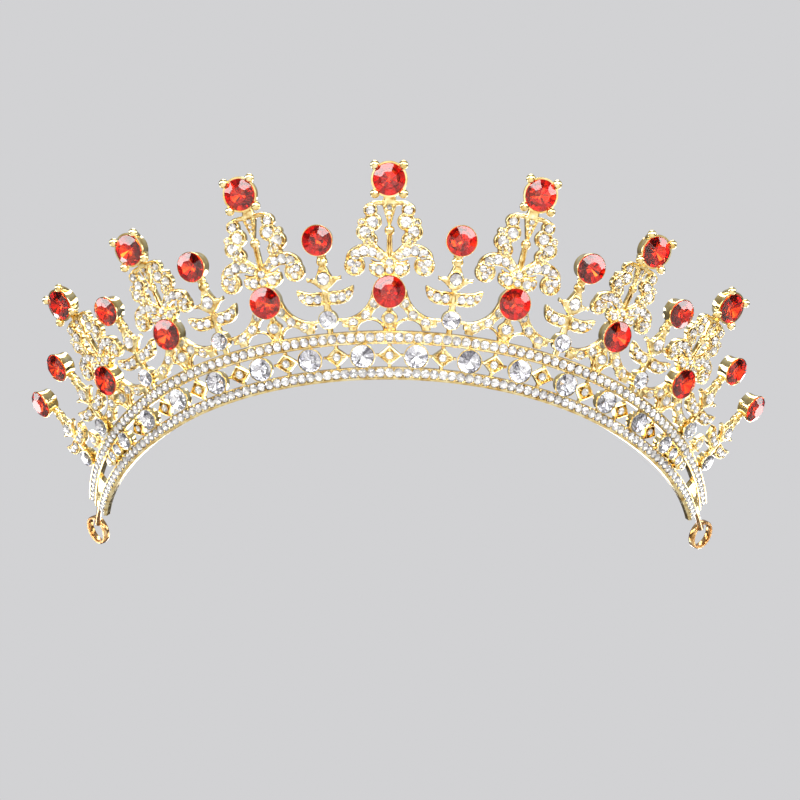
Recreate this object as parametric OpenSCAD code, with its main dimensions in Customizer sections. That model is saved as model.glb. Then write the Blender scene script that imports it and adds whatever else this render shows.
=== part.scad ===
// A tiara cast in plated alloy and set with glass stones.
// It stands on the foot of its lower rail, open towards +Y, with its front towards -Y.

/* [Band] */
// Radius of the front arc, along the foot of the lower rail
front_r = 72; // [68:1:76]
// Radius of the straighter arcs at the sides
side_r = 92; // [86:1:98]
// Angle that the front arc takes on each side of the middle
front_half = 45; // [40:1:50]
// Length of each half of the rails, along the foot
half_length = 110; // [108:0.5:112]
// Outward lean of the whole band, away from upright
flare = 42; // [36:1:44]
// Width of each rail, up the slope of the band
rail_w = 3; // [2.8:0.1:3.2]
// Thickness of each rail
rail_thick = 1.8; // [1.6:0.1:2]
// Width of the flat ground on the lower rail, on which it stands
seat_w = 0.8; // [0.6:0.1:1]
// Height of the upper rail's top edge up the slope, at the front
band_h = 11.5; // [11:0.1:12]
// Depth of the groove that holds a rail's row of stones
groove_depth = 0.5; // [0.4:0.05:0.6]

/* [Ornaments] */
// Thickness of the ornament castings
cast_thick = 1.6; // [1.4:0.1:1.8]
// Distance along the foot from the middle crest to the next
crest_step = 24.2; // [24:0.1:24.6]
// How much closer together each further crest stands
crest_crowding = 0.6; // [0.5:0.05:0.7]
// Height of the arch stones up the slope, at the front
arch_h = 20.9; // [20.6:0.1:21.2]
// Height of the foot crystals up the slope, at the front
foot_h = 14.8; // [14.6:0.1:15]
// Height of a crest's stone over its arch stone, on the inner crests
crest_h = 25.8; // [25:0.1:27]
// The same on the outer crests
outer_crest_h = 22; // [21:0.1:23]
// Height of a spray's stone over its foot crystal
spray_h = 18.7; // [18:0.1:19.5]

/* [Stones] */
// Radius of the large coloured stones
red_r = 3.6; // [3.4:0.05:3.7]
// Radius of the crystals at the feet of the sprays
foot_r = 2; // [1.8:0.05:2.1]
// Distance along the foot from one gallery piece to the next
gallery_step = 5.85; // [5.7:0.05:5.9]
// Radius of the stones in the rails
pave_r = 0.95; // [0.8:0.05:1]
// Number of stones in each half of a rail
pave_count = 53; // [48:1:54]

/* [End loops] */
// Radius of the hole through an end loop
loop_bore_r = 3.2; // [2.6:0.1:3.3]
// Wall of an end loop
loop_wall = 0.8; // [0.7:0.1:0.9]
// Length of an end loop along its hole
loop_length = 1.8; // [1.6:0.1:2]

/* [Hidden] */
$fn = 32;

gold = [0.87, 0.68, 0.3];
light_gold = [0.93, 0.78, 0.45];
red = [0.8, 0.12, 0.06];
clear_glass = [0.86, 0.88, 0.92];

// Places of the sprays along the foot, chosen between the crests and beyond the last one
spray_at = [12.5, 36.6, 58.5, 80.9, 95];
// Place of the small arch between the last two sprays
end_arch_at = 88;
// The rails start to draw together this far from the middle
draw_start = 43;
// How strongly the top edge of the band, and the ornaments' feet over it, come down by the ends
band_draw = 0.46;
foot_draw = 0.73;
// Where the solid web between the rails begins
web_start = 97;
// Small crystals that fill the narrowing gap: place along the foot, radius
end_crystal = [[80.6, 1.4], [83.9, 1.15], [86.6, 0.9]];
// Moves the plan back so that the origin is midway between the front and the loops
to_middle = 47.06;
// Place of an end loop's hole, along the foot and up the slope
loop_at = 125;
loop_h = loop_bore_r + loop_wall + 0.9;
// Turn of an end loop towards the front, in degrees
loop_turn = 20;
// Height of the loops' necks up the slope
neck_h = 4.3;

sin_flare = sin(flare);
cos_flare = cos(flare);
foot_z = rail_thick / 2 * sin_flare - seat_w * sin_flare * cos_flare;
arc_len = front_r * front_half * PI / 180;
front_centre = [0, to_middle];
side_centre = [sin(front_half) * (front_r - side_r),
    to_middle - cos(front_half) * (front_r - side_r)];
cast_half = cast_thick / 2;
cup_base_r = red_r - 0.3;
cup_wall = 0.3;
spray_r = red_r - 0.2;
cup_depth = 2.7;
gallery_depth = 1.7;
// Radius of a gallery stone and of its collet's stem, as shares of the gap between the rails
gallery_share = 0.485;
gallery_stem = 0.44;
foot_depth = 1.5;
foot_cup_r = foot_r + cup_wall;
pave_h = 0.4;
rim = 0.25;
groove_w = 2 * pave_r + 0.2;

// Direction of the band's outward side at a distance along the foot, from -Y
function plan_angle(along) = sign(along) * (abs(along) <= arc_len
    ? abs(along) / front_r * 180 / PI
    : front_half + (abs(along) - arc_len) / side_r * 180 / PI);

// Point of the foot curve at a distance along it from the middle of the front
function plan_point(along) = let (
    turn = plan_angle(abs(along)),
    beyond = abs(along) > arc_len,
    r = beyond ? side_r : front_r,
    centre = beyond ? side_centre : front_centre)
    [sign(along) * (centre[0] + r * sin(turn)), centre[1] - r * cos(turn)];

// Point at a distance along the foot, a height up the slope and a distance out of it
function spot(along, up, out) = let (
    turn = plan_angle(along),
    foot = plan_point(along),
    reach = sin_flare * up + cos_flare * out)
    [foot[0] + reach * sin(turn), foot[1] - reach * cos(turn),
     cos_flare * up - sin_flare * out + foot_z];

function drawn(along, strength) = 1 - strength * pow(max(0, abs(along) - draw_start) / 72, 2);
function band_top(along) = band_h * drawn(along, band_draw);
function gallery_gap(along) = band_top(along) - 2 * rail_w;
function gallery_mid(along) = rail_w + gallery_gap(along) / 2;
function crest_at(k) = crest_step * k - crest_crowding * k * (k - 1);
function arch_up(along) = foot_h * drawn(along, foot_draw) + arch_h - foot_h;
function foot_up(along) = max(foot_h * drawn(along, foot_draw), band_top(along) + foot_cup_r);
function crest_up(k) = k < 2 ? crest_h : outer_crest_h;
// The span of the band at a height is longer than its foot
function spread(up) = (front_r + sin_flare * up) / front_r;

// Sets children on the band: X along it, Y up the slope, Z out of the front face
module on_band(along, up) {
    turn = plan_angle(along);
    place = spot(along, up, 0);
    translate(place) rotate([0, 0, turn]) rotate([90 + flare, 0, 0]) children();
}

module stroke(from, to, width) {
    run = to - from;
    translate(from) rotate(atan2(run[1], run[0])) translate([0, -width / 2])
        square([norm(run), width]);
    translate(from) circle(d = width);
    translate(to) circle(d = width);
}

module casting() {
    translate([0, 0, -cast_half]) linear_extrude(height = cast_thick) children();
}

module mirrored() {
    children();
    mirror([1, 0, 0]) children();
}

// ---- rails ----

// Section of the lower rail as [up the slope, out of it], with its flat foot and its groove
rail_section = [
    [0, -rail_thick / 2],
    [0, foot_z / sin_flare],
    [seat_w * sin_flare, rail_thick / 2],
    [rail_w - rim - groove_w, rail_thick / 2],
    [rail_w - rim - groove_w, rail_thick / 2 - groove_depth],
    [rail_w - rim, rail_thick / 2 - groove_depth],
    [rail_w - rim, rail_thick / 2],
    [rail_w, rail_thick / 2],
    [rail_w, -rail_thick / 2]];

module rail_arc(r, sweep) {
    rotate_extrude(angle = sweep, $fn = 180) polygon([for (p = rail_section)
        [r + sin_flare * p[0] + cos_flare * p[1], cos_flare * p[0] - sin_flare * p[1] + foot_z]]);
}

module lower_rail() color(gold) {
    translate([0, to_middle, 0]) rotate([0, 0, -90 - front_half]) rail_arc(front_r, 2 * front_half);
    mirrored() translate([side_centre[0], side_centre[1], 0])
        rotate([0, 0, front_half - 90])
            rail_arc(side_r, plan_angle(half_length) - front_half);
}

// Joins rings of points, each in the same order, into one closed solid
module swept(rings) {
    n = len(rings[0]);
    last = len(rings) - 1;
    polyhedron(
        points = [for (ring = rings) for (p = ring) p],
        faces = concat(
            [[for (i = [0 : n - 1]) i]],
            [for (j = [0 : last - 1]) for (i = [0 : n - 1])
                [j * n + i, (j + 1) * n + i, (j + 1) * n + (i + 1) % n, j * n + (i + 1) % n]],
            [[for (i = [n - 1 : -1 : 0]) last * n + i]]),
        convexity = 6);
}

upper_steps = 44;

module upper_rail() color(gold) {
    half_t = rail_thick / 2;
    section = [[0, half_t], [0, -half_t], [rail_w, -half_t], [rail_w, half_t],
        [rail_w - 0.4, half_t], [rail_w - 0.4, half_t - groove_depth],
        [rail_w - 0.4 - groove_w, half_t - groove_depth], [rail_w - 0.4 - groove_w, half_t]];
    swept([for (i = [-upper_steps : upper_steps])
        let (along = i * half_length / upper_steps)
        [for (p = section) spot(along, band_top(along) - rail_w + p[0], p[1])]]);
}

module stone_row(middle_up) {
    step = (half_length - 2 * pave_r) / pave_count;
    floor_z = rail_thick / 2 - groove_depth;
    for (i = [-pave_count : pave_count])
        on_band(i * step, middle_up == 0
            ? band_top(i * step) - 0.4 - groove_w / 2
            : middle_up)
            translate([0, 0, floor_z]) cylinder(h = pave_h, r1 = pave_r, r2 = pave_r * 0.65);
}

module lower_rail_stones() color(clear_glass) stone_row(rail_w - rim - groove_w / 2);
module upper_rail_stones() color(clear_glass) stone_row(0);

// ---- gallery between the rails ----

module lozenge(size) {
    polygon([[size, 0], [0, size], [-size, 0], [0, -size]]);
}

module lozenge_frames() color(gold) for (k = [-6 : 6]) {
    along = 2 * k * gallery_step;
    half_gap = gallery_gap(along) / 2;
    scale_k = half_gap / 2.75;
    tab = 3.35 * scale_k;
    on_band(along, gallery_mid(along)) difference() {
        casting() {
            lozenge(2.5 * scale_k);
            square([2 * tab, 0.7], center = true);
            square([0.8, 2 * half_gap], center = true);
        }
        translate([0, 0, cast_half - 0.35]) linear_extrude(height = 1) lozenge(1.9 * scale_k);
        translate([0, 0, cast_half - 0.7]) cylinder(h = 1, r = 1.05 * scale_k);
    }
}

module lozenge_crystals() color(clear_glass) for (k = [-6 : 6]) {
    along = 2 * k * gallery_step;
    scale_k = gallery_gap(along) / 5.5;
    on_band(along, gallery_mid(along)) translate([0, 0, cast_half - 0.7])
        cylinder(h = 0.9, r1 = scale_k, r2 = 0.65 * scale_k);
}

// Collet that a round stone drops into: a solid stem, then a wall up to its mouth
module collet(stone_r, depth, stem_r) {
    rotate_extrude() polygon([
        [0, -cast_half],
        [stem_r, -cast_half],
        [stem_r, cast_half + 0.15],
        [stone_r + cup_wall, depth - 0.55],
        [stone_r + cup_wall, depth],
        [stone_r + 0.05, depth],
        [stone_r + 0.05, depth - 0.35],
        [stone_r * 0.25, depth * 0.35],
        [0, depth * 0.35]]);
}

// Foil-backed round stone: pavilion, girdle and a crown with a flat table
module round_stone(stone_r, depth) {
    rotate_extrude() polygon([
        [0, depth * 0.35 + 0.05],
        [stone_r * 0.25 - 0.03, depth * 0.35 + 0.05],
        [stone_r, depth - 0.3],
        [stone_r, depth - 0.1],
        [stone_r * 0.58, depth + stone_r * 0.28],
        [0, depth + stone_r * 0.28]]);
}

module each_gallery_place() {
    for (side = [-1, 1], k = [1 : 7]) {
        $along = side * (2 * k - 1) * gallery_step;
        $stone_r = gallery_share * gallery_gap($along);
        on_band($along, gallery_mid($along)) children();
    }
}

module each_end_crystal() {
    for (side = [-1, 1], c = end_crystal) {
        $along = side * c[0];
        $stone_r = c[1];
        on_band($along, gallery_mid($along)) children();
    }
}

// Post behind a stone, from one rail to the other
module gallery_post(gap) {
    translate([0, 0, -cast_half / 2]) cube([0.8, gap, cast_half], center = true);
}

module gallery_cups() color(gold) {
    each_gallery_place() {
        collet($stone_r, gallery_depth, gallery_stem * gallery_gap($along));
        gallery_post(gallery_gap($along));
    }
    each_end_crystal() {
        collet($stone_r, gallery_depth, $stone_r + cup_wall);
        gallery_post(gallery_gap($along));
    }
}

module gallery_crystals() color(clear_glass) each_gallery_place() round_stone($stone_r, gallery_depth);
module end_crystals() color(clear_glass) each_end_crystal() round_stone($stone_r, gallery_depth);

// ---- ends ----

module end_web(side) {
    half_t = 0.6;
    steps = 4;
    swept([for (i = [0 : steps])
        let (along = side * (web_start + (half_length - web_start) * i / steps),
            low = rail_w, high = band_top(along) - rail_w,
            corners = [[low, half_t], [low, -half_t], [high, -half_t], [high, half_t]])
        [for (j = [0 : 3]) let (p = corners[side > 0 ? j : 3 - j]) spot(along, p[0], p[1])]]);
}

module end_web_left() color(gold) end_web(-1);
module end_web_right() color(gold) end_web(1);

// Eye on a slim neck, in the slope of the band but turned so that its hole faces more to the front
module end_loop(side) {
    outer_r = loop_bore_r + loop_wall;
    on_band(side * loop_at, loop_h) difference() {
        union() {
            rotate([0, -side * loop_turn, 0])
                cylinder(h = loop_length, r = outer_r, center = true, $fn = 64);
            translate([-side * (loop_at - half_length) / 2 - side * 1.2, neck_h - loop_h, 0])
                cube([loop_at - half_length - 2.4, 1.4, 1.2], center = true);
        }
        rotate([0, -side * loop_turn, 0])
            cylinder(h = loop_length + 2, r = loop_bore_r, center = true, $fn = 64);
    }
}

module end_loop_left() color(gold) end_loop(-1);
module end_loop_right() color(gold) end_loop(1);

// ---- arches over the upper rail ----

rib_r = 8.6;
rib_w = 2;
rib_y = 10.2;

// Concave rib: a quarter ring whose middle stands out beside the arch
module rib(reach) {
    intersection() {
        translate([reach, rib_y]) difference() {
            circle(r = rib_r + rib_w / 2, $fn = 64);
            circle(r = rib_r - rib_w / 2, $fn = 64);
        }
        translate([0, -1]) square([reach, rib_y + 1]);
    }
}

function rib_point(reach, turn) = [reach - rib_r * cos(turn), rib_y - rib_r * sin(turn)];
rib_turns = [25, 47, 69];
opening_at = 4.46;
opening_r = 2.95;
arch_foot_at = 8.5;

// How far an arch can reach along the band before the collet of the next foot crystal
function arch_reach(k, side) = let (
    gap = side > 0 ? spray_at[k] - crest_at(k) : crest_at(k) - (k == 0 ? -spray_at[0] : spray_at[k - 1]))
    gap * spread(foot_h) - foot_cup_r - 0.4;

// Rim of the low round opening between an arch's drop and its foot
module opening() {
    translate([opening_at, -0.6]) difference() {
        circle(r = opening_r + 0.65, $fn = 64);
        circle(r = opening_r, $fn = 64);
    }
}

module arch(side, k) {
    along = side * crest_at(k);
    top = band_top(along);
    stone_y = arch_up(along) - top;
    outer = arch_reach(k, 1);
    inner = arch_reach(k, -1);
    on_band(along, top) casting() difference() {
        union() {
            for (way = [-1, 1]) mirror([way < 0 ? 1 : 0, 0]) {
                reach = way * side >= 0 && k > 0 ? outer : k == 0 ? outer : inner;
                rib(reach);
                for (turn = rib_turns) translate(rib_point(reach, turn) + [0, -0.2]) circle(r = 1.2);
                opening();
            }
            polygon([[0, stone_y - 3], [1.95, 3.1], [1.3, 1], [1.3, 0], [-1.3, 0], [-1.3, 1], [-1.95, 3.1]]);
        }
        translate([0, stone_y]) circle(r = cup_base_r);
        translate([-20, -2]) square([40, 2]);
    }
    for (way = [-1, 1]) {
        at_foot = along + way * arch_foot_at;
        on_band(at_foot, band_top(at_foot)) translate([-1, 0, -cast_half])
            cube([2, 1.5, cast_thick]);
    }
}

module arch_centre() color(gold) arch(1, 0);
module arch_left_1() color(gold) arch(-1, 1);
module arch_left_2() color(gold) arch(-1, 2);
module arch_left_3() color(gold) arch(-1, 3);
module arch_right_1() color(gold) arch(1, 1);
module arch_right_2() color(gold) arch(1, 2);
module arch_right_3() color(gold) arch(1, 3);

module end_arch(side) {
    on_band(side * end_arch_at, band_top(end_arch_at)) casting() {
        polygon([[0, 5.4], [1.7, 2.6], [0.6, 0], [-0.6, 0], [-1.7, 2.6]]);
        translate([-2.4, 1.2]) square([4.8, 0.7]);
    }
}

module end_arch_left() color(gold) end_arch(-1);
module end_arch_right() color(gold) end_arch(1);

module each_arch() {
    for (k = [-3 : 3]) {
        along = sign(k) * crest_at(abs(k));
        $k = k;
        on_band(along, arch_up(along)) children();
    }
}

module arch_cups() color(light_gold) each_arch() collet(red_r, cup_depth, cup_base_r);
module arch_stones() color(red) each_arch() round_stone(red_r, cup_depth);

module arch_pave() color(clear_glass) {
    for (k = [-3 : 3]) {
        side = k < 0 ? -1 : 1;
        along = side * crest_at(abs(k));
        on_band(along, band_top(along)) translate([0, 0, cast_half]) {
            translate([0, 3]) cylinder(h = pave_h, r1 = 1.1, r2 = 0.7);
            for (way = [-1, 1]) {
                reach = way * side >= 0 || k == 0 ? arch_reach(abs(k), 1) : arch_reach(abs(k), -1);
                for (turn = rib_turns) {
                    p = rib_point(reach, turn);
                    translate([way * p[0], p[1]]) cylinder(h = pave_h, r1 = 0.9, r2 = 0.6);
                }
            }
        }
    }
    for (side = [-1, 1]) on_band(side * end_arch_at, band_top(end_arch_at))
        translate([0, 2.7, cast_half]) cylinder(h = pave_h, r1 = 1.1, r2 = 0.7);
}

// ---- crests ----

// Lobes of a crest's column, as [across, up, radius], on a crest of the full height
lobes = [[4.4, 18.6, 1.65], [3.85, 15.9, 2.1], [6.4, 15.7, 1], [5.6, 13.6, 2.15], [4.5, 11.7, 1.8]];
// Line of a crest's petal, from the heart of the crest round to its curled end
petal = [[0.6, 7.2], [3.3, 8.8], [6.3, 9.1], [8.2, 8], [8.05, 5.75]];
// Stones along a petal, as [across, up, radius]
petal_stones = [[2.2, 8.1, 0.8], [4, 9, 0.9], [6, 9.2, 0.9], [7.8, 8.3, 0.95], [8.1, 5.9, 1.1]];
heart_stones = [[0, 6.8, 0.8], [2.3, 5, 1], [0, 4.9, 0.8]];

function crest_scale(k) = crest_up(k) / 25.8;

module crest_half(s) {
    for (lobe = lobes) translate([lobe[0] * s, lobe[1] * s]) circle(r = lobe[2] * s);
    stroke([4.5 * s, 19 * s], [1.2 * s, 20.4 * s], 1);
    stroke([4.2 * s, 11.4 * s], [1 * s, 8 * s], 1.6 * s);
    for (i = [0 : 3]) stroke(petal[i] * s, petal[i + 1] * s, 2.6 * s);
    translate([8.05 * s, 5.75 * s]) circle(r = 2.45 * s);
    polygon([[0, 2.9 * s], [2.4 * s, 2.9 * s], [4.1 * s, 4.4 * s], [4.4 * s, 6 * s], [0, 6.9 * s]]);
}

module crest(side, k) {
    along = side * crest_at(k);
    up = crest_up(k);
    s = crest_scale(k);
    on_band(along, arch_up(along)) {
        casting() difference() {
            union() {
                crest_half(s);
                mirror([1, 0]) crest_half(s);
                polygon([[-1.8 * s, 20.2 * s], [0, 15.2 * s], [1.8 * s, 20.2 * s],
                    [1.3 * s, up - 3], [-1.3 * s, up - 3]]);
                translate([-0.35, 7 * s]) square([0.7, 9 * s]);
                translate([-0.6 * s, 7.4 * s]) square([1.2 * s, 5.9 * s]);
            }
            circle(r = cup_base_r);
            translate([0, up]) circle(r = cup_base_r);
        }
        translate([0, 13.9 * s, 0.2]) sphere(r = 1.2 * s);
    }
}

module crest_centre() color(gold) crest(1, 0);
module crest_left_1() color(gold) crest(-1, 1);
module crest_left_2() color(gold) crest(-1, 2);
module crest_left_3() color(gold) crest(-1, 3);
module crest_right_1() color(gold) crest(1, 1);
module crest_right_2() color(gold) crest(1, 2);
module crest_right_3() color(gold) crest(1, 3);

module each_crest() {
    for (k = [-3 : 3]) {
        along = sign(k) * crest_at(abs(k));
        $up = crest_up(abs(k));
        $s = crest_scale(abs(k));
        on_band(along, arch_up(along)) children();
    }
}

claw_r = 0.95;
claw_reach = 4.75;

module crest_cups() color(light_gold) each_crest() translate([0, $up, 0]) {
    collet(red_r, cup_depth, cup_base_r);
    for (turn = [45 : 90 : 315]) rotate([0, 0, turn]) {
        translate([cup_base_r - 0.3, -0.6, cast_half - 0.9])
            cube([claw_reach - cup_base_r + 0.3, 1.2, 0.9]);
        translate([claw_reach, 0, cast_half - 0.9]) cylinder(h = cup_depth - 0.3, r = 0.6);
        translate([claw_reach, 0, cup_depth - 0.1]) sphere(r = claw_r);
    }
}

module crest_stones() color(red) each_crest() translate([0, $up, 0]) round_stone(red_r, cup_depth);

module set_stones(list, s) {
    for (stone = list) translate([stone[0] * s, stone[1] * s, cast_half])
        cylinder(h = pave_h, r1 = stone[2] * s, r2 = stone[2] * 0.65 * s);
}

module crest_pave() color(clear_glass) each_crest() {
    mirrored() {
        set_stones([for (lobe = lobes) [lobe[0], lobe[1], lobe[2] * 0.62]], $s);
        set_stones(petal_stones, $s);
        set_stones([heart_stones[1]], $s);
    }
    set_stones([heart_stones[0], heart_stones[2]], $s);
    set_stones([[0, 19.3, 0.75], [0, 17.8, 0.55]], $s);
}

// ---- sprays ----

// One leaf, from the stem to its tip, with a hollow upper edge and a full lower edge
leaf = [[0.3, 3.4], [3.4, 3.3], [4.9, 3.7], [6, 4.7], [6.7, 6.4], [6.6, 7.4], [5.2, 6.95], [3, 6.45],
    [0.3, 6.4]];
leaf_stones = [[1.9, 4.9, 0.95], [3.9, 5, 0.95], [5.5, 5.75, 0.65]];
bud = [[0, 6.4], [1.2, 7.2], [2.4, 8.3], [3.3, 8.9], [4, 8.9], [4.1, 10], [3.3, 9.7], [1.9, 10], [1.3, 11.3],
    [0.65, 12.9], [0, 12.9]];

module spray_half() {
    polygon(leaf);
    polygon(bud);
}

module spray(side, n) {
    along = side * spray_at[n];
    on_band(along, foot_up(along)) {
        casting() difference() {
            union() {
                spray_half();
                mirror([1, 0]) spray_half();
                translate([-0.65, foot_r - 1]) square([1.3, spray_h - 3 - foot_r]);
            }
            circle(r = foot_cup_r);
            translate([0, spray_h]) circle(r = spray_r - 0.3);
        }
        translate([0, 13.5, 0]) rotate([-90, 0, 0]) cylinder(h = 0.9, r = 1.1);
    }
}

module spray_left_1() color(gold) spray(-1, 0);
module spray_left_2() color(gold) spray(-1, 1);
module spray_left_3() color(gold) spray(-1, 2);
module spray_left_4() color(gold) spray(-1, 3);
module spray_left_5() color(gold) spray(-1, 4);
module spray_right_1() color(gold) spray(1, 0);
module spray_right_2() color(gold) spray(1, 1);
module spray_right_3() color(gold) spray(1, 2);
module spray_right_4() color(gold) spray(1, 3);
module spray_right_5() color(gold) spray(1, 4);

module each_spray() {
    for (side = [-1, 1], n = [0 : 4]) {
        along = side * spray_at[n];
        $drop = foot_up(along) - band_top(along);
        on_band(along, foot_up(along)) children();
    }
}

module foot_cups() color(gold) each_spray() {
    collet(foot_r, foot_depth, foot_cup_r);
    if ($drop > foot_cup_r + 0.05) translate([-0.7, -$drop, -cast_half])
        cube([1.4, $drop - foot_r + 0.5, cast_thick]);
}

module foot_crystals() color(clear_glass) each_spray() round_stone(foot_r, foot_depth);
module spray_cups() color(light_gold) each_spray() translate([0, spray_h, 0])
    collet(spray_r, cup_depth, spray_r - 0.3);
module spray_stones() color(red) each_spray() translate([0, spray_h, 0]) round_stone(spray_r, cup_depth);

module spray_pave() color(clear_glass) each_spray() {
    mirrored() set_stones(leaf_stones, 1);
    set_stones([[0, 9.6, 1.15]], 1);
}

lower_rail();
upper_rail();
lozenge_frames();
gallery_cups();
foot_cups();
end_web_left();
end_web_right();
end_loop_left();
end_loop_right();
arch_centre();
arch_left_1();
arch_left_2();
arch_left_3();
arch_right_1();
arch_right_2();
arch_right_3();
end_arch_left();
end_arch_right();
crest_centre();
crest_left_1();
crest_left_2();
crest_left_3();
crest_right_1();
crest_right_2();
crest_right_3();
spray_left_1();
spray_left_2();
spray_left_3();
spray_left_4();
spray_left_5();
spray_right_1();
spray_right_2();
spray_right_3();
spray_right_4();
spray_right_5();
crest_cups();
arch_cups();
spray_cups();
crest_stones();
arch_stones();
spray_stones();
gallery_crystals();
lozenge_crystals();
foot_crystals();
end_crystals();
lower_rail_stones();
upper_rail_stones();
crest_pave();
spray_pave();
arch_pave();
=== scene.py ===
import math
import random

import bpy
from mathutils import Matrix, Vector


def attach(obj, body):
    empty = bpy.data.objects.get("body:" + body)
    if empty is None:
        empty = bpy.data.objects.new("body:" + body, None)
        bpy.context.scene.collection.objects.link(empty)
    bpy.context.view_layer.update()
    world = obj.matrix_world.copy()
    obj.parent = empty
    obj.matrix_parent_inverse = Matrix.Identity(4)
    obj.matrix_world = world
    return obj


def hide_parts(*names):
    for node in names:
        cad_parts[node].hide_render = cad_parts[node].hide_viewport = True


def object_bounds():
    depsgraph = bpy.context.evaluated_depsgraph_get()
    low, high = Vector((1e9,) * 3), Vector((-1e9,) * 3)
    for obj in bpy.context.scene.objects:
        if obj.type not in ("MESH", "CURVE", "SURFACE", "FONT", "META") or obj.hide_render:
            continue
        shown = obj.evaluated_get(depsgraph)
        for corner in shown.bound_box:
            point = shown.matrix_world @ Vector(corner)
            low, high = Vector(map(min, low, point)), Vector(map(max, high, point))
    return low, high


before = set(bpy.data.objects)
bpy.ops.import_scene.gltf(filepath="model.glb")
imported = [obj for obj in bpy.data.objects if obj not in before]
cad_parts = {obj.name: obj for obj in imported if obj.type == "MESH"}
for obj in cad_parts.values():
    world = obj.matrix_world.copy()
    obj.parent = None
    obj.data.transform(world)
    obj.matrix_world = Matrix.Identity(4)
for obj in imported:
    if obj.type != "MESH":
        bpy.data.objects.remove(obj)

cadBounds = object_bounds()
mm = 0.001

# Driving sizes of the tiara, the same as the frame's, in millimetres and degrees
band = {
    "frontRadius": 72,
    "sideRadius": 92,
    "frontHalf": 45,
    "halfLength": 110,
    "flare": 42,
    "railWidth": 3.0,
    "railThick": 1.8,
    "height": 11.5,
    "seatWidth": 0.8,
    "toMiddle": 47.06,
    "drawStart": 43,
    "drawLength": 72,
    "bandDraw": 0.46,
    "footDraw": 0.73,
}
ornament = {
    "crestStep": 24.2,
    "crestCrowding": 0.6,
    "archHeight": 20.9,
    "footHeight": 14.8,
    "crestHeight": 25.8,
    "outerCrestHeight": 22,
    "sprayHeight": 18.7,
    "sprayAt": [12.5, 36.6, 58.5, 80.9, 95],
    "endArchAt": 88,
    "redRadius": 3.6,
    "sprayRadius": 3.4,
    "footRadius": 2.0,
    "colletDepth": 2.7,
    "stemInset": 0.3,
    "lip": 0.3,
    "stoneBack": 1.15,  # height of a red stone's back point
    "stoneSunk": 0.06,  # how far a stone's edge lies under its collet's rim
    "stoneOverlap": 0.08,
    "crystalBack": 0.8,
    "paveBack": 0.52,  # heights of a small stone's back point and girdle
    "paveGirdle": 0.84,
    "middleGirdle": 0.86,  # the stones in the middle of arches and sprays stand a little higher
}

flareSin = math.sin(math.radians(band["flare"]))
flareCos = math.cos(math.radians(band["flare"]))
footLift = band["railThick"] / 2 * flareSin - band["seatWidth"] * flareSin * flareCos
frontArc = band["frontRadius"] * math.radians(band["frontHalf"])
footCupRadius = ornament["footRadius"] + 0.3


def planTurn(along):
    reach = abs(along)
    if reach <= frontArc:
        turn = reach / band["frontRadius"]
    else:
        turn = math.radians(band["frontHalf"]) + (reach - frontArc) / band["sideRadius"]
    return math.copysign(turn, along)


def spot(along, up, out=0.0):
    # a place this far along the foot, up the slope and out of its face, in mm
    turn = planTurn(abs(along))
    radius, centreX, centreY = band["frontRadius"], 0.0, band["toMiddle"]
    if abs(along) > frontArc:
        radius = band["sideRadius"]
        step = band["frontRadius"] - band["sideRadius"]
        centreX = math.sin(math.radians(band["frontHalf"])) * step
        centreY -= math.cos(math.radians(band["frontHalf"])) * step
    reach = radius + flareSin * up + flareCos * out
    x = centreX + reach * math.sin(turn)
    return Vector((math.copysign(1, along) * x if along else x,
                   centreY - reach * math.cos(turn),
                   flareCos * up - flareSin * out + footLift))


def onBand(along, up):
    # X along the band, Y up its slope, Z out of its front
    tilt = Matrix.Rotation(math.radians(90 + band["flare"]), 4, "X")
    return Matrix.Translation(spot(along, up)) @ Matrix.Rotation(planTurn(along), 4, "Z") @ tilt


def drawn(along, strength):
    # how much of its middle height the band or an ornament still has here
    return 1 - strength * (max(0, abs(along) - band["drawStart"]) / band["drawLength"]) ** 2


def bandTop(along):
    return band["height"] * drawn(along, band["bandDraw"])


def galleryGap(along):
    return bandTop(along) - 2 * band["railWidth"]


def galleryMiddle(along):
    return band["railWidth"] + galleryGap(along) / 2


def crestAt(k):
    return ornament["crestStep"] * k - ornament["crestCrowding"] * k * (k - 1)


def archUp(along):
    return (ornament["footHeight"] * drawn(along, band["footDraw"])
            + ornament["archHeight"] - ornament["footHeight"])


def footUp(along):
    return max(ornament["footHeight"] * drawn(along, band["footDraw"]),
               bandTop(along) + footCupRadius)


def crestUp(k):
    return ornament["crestHeight"] if k < 2 else ornament["outerCrestHeight"]


def hexColour(text):
    # sRGB hex to the linear colour that a socket takes
    values = [int(text[i:i + 2], 16) / 255 for i in (1, 3, 5)]
    return [v / 12.92 if v <= 0.04045 else ((v + 0.055) / 1.055) ** 2.4 for v in values] + [1.0]


def addNode(tree, kind, settings=None, links=None):
    node = tree.nodes.new(kind)
    for name, value in (settings or {}).items():
        if name in node.inputs.keys():
            node.inputs[name].default_value = value
        else:
            setattr(node, name, value)
    for name, source in (links or {}).items():
        tree.links.new(source, node.inputs[name])
    return node


def newMaterial(name):
    material = bpy.data.materials.new(name)
    material.use_nodes = True
    material.node_tree.nodes.clear()
    return material, material.node_tree


def finishMaterial(tree, shader):
    out = addNode(tree, "ShaderNodeOutputMaterial")
    tree.links.new(shader.outputs[0], out.inputs["Surface"])


def setRamp(node, stops):
    ramp = node.color_ramp
    while len(ramp.elements) < len(stops):
        ramp.elements.new(0.5)
    for element, (place, colour) in zip(ramp.elements, stops):
        element.position = place
        element.color = hexColour(colour)


def perMetre(size):
    # noise scale whose features are about this many millimetres across
    return 1 / (size * mm)


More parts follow.
